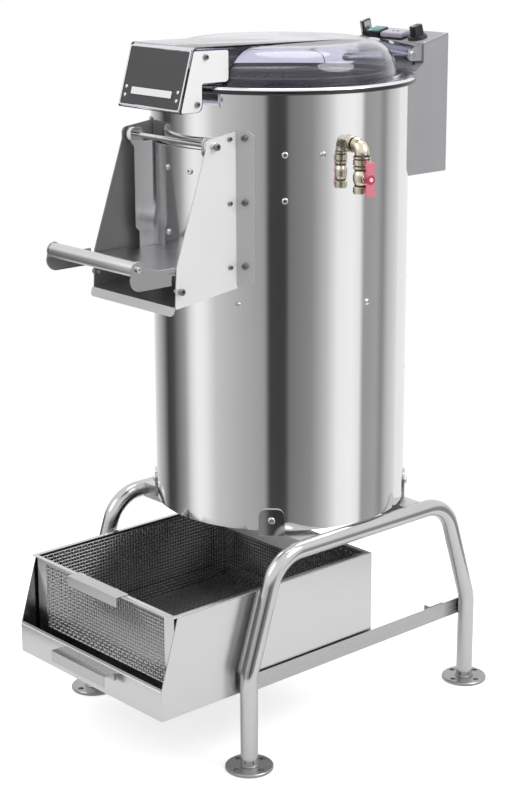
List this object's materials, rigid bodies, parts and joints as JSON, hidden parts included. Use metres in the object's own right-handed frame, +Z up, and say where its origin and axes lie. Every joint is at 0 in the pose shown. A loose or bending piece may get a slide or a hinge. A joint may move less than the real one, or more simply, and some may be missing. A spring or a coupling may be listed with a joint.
{
  "type": "potato peeler machine",
  "caption": "Floor-standing drum peeler on a bent-tube stand: clear hinged lid, front discharge chute with a swing door, control box, water valve and sliding tray with basket.",
  "frame": {"origin": "on the floor, under the middle of the whole machine's box", "axes": "+Z up; -Y is the front, where the chute and the tray's pull are; +X is the side with the water valve"},
  "size_m": [0.5488, 0.8022, 1.2207],
  "materials": {
    "drum_steel": "bright rolled stainless sheet",
    "chute_steel": "bright fine-brushed stainless sheet",
    "satin_steel": "satin stainless plate and bar",
    "stand_steel": "brushed stainless tube and plate",
    "tray_steel": "brushed stainless sheet",
    "basket_mesh": "stainless wire mesh",
    "inner_steel": "plain machined and folded steel",
    "cast_aluminium": "cast aluminium",
    "abrasive": "coarse dark grit coating",
    "rubber": "black rubber",
    "white_nylon": "plain white",
    "clear_lid": "clear moulding with a faint violet tint",
    "cover_dark": "dark-grey satin plate",
    "box_grey": "grey satin housing",
    "knob_black": "black moulded plastic",
    "button_teal": "blue-green button cap",
    "button_pale": "pale translucent button cap",
    "brass": "pipe-fitting brass",
    "handle_red": "red coated handle"
  },
  "bodies": {
    "machine": {"leg_frame_right": "stand_steel", "leg_frame_left": "stand_steel", "foot_flange_front_right": "stand_steel", "foot_flange_front_left": "stand_steel", "foot_flange_rear_right": "stand_steel", "foot_flange_rear_left": "stand_steel", "cross_member_front": "stand_steel", "cross_member_rear": "stand_steel", "rail_right": "stand_steel", "rail_left": "stand_steel", "rail_stop_right": "stand_steel", "rail_stop_left": "stand_steel", "drum_shell": "drum_steel", "top_rim": "drum_steel", "base_plate": "inner_steel", "chamber_floor": "cast_aluminium", "abrasive_liner": "abrasive", "bearing_housing": "cast_aluminium", "bearing_lower": "inner_steel", "bearing_upper": "inner_steel", "drive_belt": "rubber", "motor": "cast_aluminium", "motor_mount": "inner_steel", "drain_pipe": "inner_steel", "service_cover": "drum_steel", "chute_plate_right": "chute_steel", "chute_plate_left": "chute_steel", "chute_floor": "chute_steel", "door_hinge_rod": "satin_steel", "hinge_bush_right": "white_nylon", "hinge_bush_left": "white_nylon", "lid_hinge_bracket": "satin_steel", "lid_hinge_pin": "satin_steel", "control_box": "box_grey", "control_panel": "box_grey", "inlet_elbow": "brass", "valve_body": "brass"},
    "lid": {"lid_dome": "clear_lid", "nose_cover_frame": "chute_steel", "nose_cover_panel": "cover_dark", "nose_cover_strip": "white_nylon"},
    "door": {"discharge_door": "chute_steel", "door_seal": "rubber", "door_handle_bracket": "satin_steel", "door_handle_grip": "satin_steel"},
    "tray": {"catch_tray": "tray_steel", "tray_handle": "tray_steel"},
    "basket": {"basket_body": "tray_steel", "basket_mesh": "basket_mesh", "basket_handle": "tray_steel"},
    "disc": {"abrasive_disc": "abrasive", "main_shaft": "inner_steel", "driven_pulley": "cast_aluminium"},
    "motor_rotor": {"motor_pulley": "inner_steel"},
    "water_handle": {"valve_handle": "handle_red"},
    "selector": {"selector_knob": "knob_black"},
    "start": {"start_button": "button_teal"},
    "stop": {"stop_button": "button_pale"},
    "timer": {"timer_knob": "knob_black"}
  },
  "joints": [
    {"name": "lid_hinge", "type": "hinge", "parent": "machine", "child": "lid", "pos_m": [-0.01228, 0.31015, 1.1662], "axis": [-1, 0, 0], "range_deg": [0, 70]},
    {"name": "door_hinge", "type": "hinge", "parent": "machine", "child": "door", "pos_m": [-0.01228, -0.17685, 1.0506], "axis": [-1, 0, 0], "range_deg": [0, 80]},
    {"name": "tray_slide", "type": "slide", "parent": "machine", "child": "tray", "axis": [0, -1, 0], "range_m": [-0.15, 0.25]},
    {"name": "basket_lift", "type": "slide", "parent": "tray", "child": "basket", "axis": [0, 0, 1], "range_m": [0, 0.04]},
    {"name": "disc_spin", "type": "hinge", "parent": "machine", "child": "disc", "pos_m": [-0.01228, 0.06715, 0.8], "axis": [0, 0, 1], "continuous": true},
    {"name": "motor_spin", "type": "hinge", "parent": "machine", "child": "motor_rotor", "pos_m": [-0.01228, 0.18515, 0.6], "axis": [0, 0, 1], "continuous": true},
    {"name": "water_valve_turn", "type": "hinge", "parent": "machine", "child": "water_handle", "pos_m": [0.26386, 0.01097, 0.9967], "axis": [0.9799, -0.1994, 0], "range_deg": [0, 90]},
    {"name": "selector_turn", "type": "hinge", "parent": "machine", "child": "selector", "pos_m": [-0.08878, 0.35799, 1.19091], "axis": [0, -0.2354, 0.9719], "range_deg": [0, 90]},
    {"name": "start_press", "type": "slide", "parent": "machine", "child": "start", "axis": [0, 0.2354, -0.9719], "range_m": [0, 0.0026], "stiffness_N_per_m": 300, "springref_m": -0.001},
    {"name": "stop_press", "type": "slide", "parent": "machine", "child": "stop", "axis": [0, 0.2354, -0.9719], "range_m": [0, 0.0026], "stiffness_N_per_m": 300, "springref_m": -0.001},
    {"name": "timer_turn", "type": "hinge", "parent": "machine", "child": "timer", "pos_m": [0.03972, 0.35799, 1.19091], "axis": [0, -0.2354, 0.9719], "range_deg": [-270, 0]}
  ],
  "couplings": [
    {"joint": "motor_spin", "follows": "disc_spin", "ratio": 4.081}
  ]
}
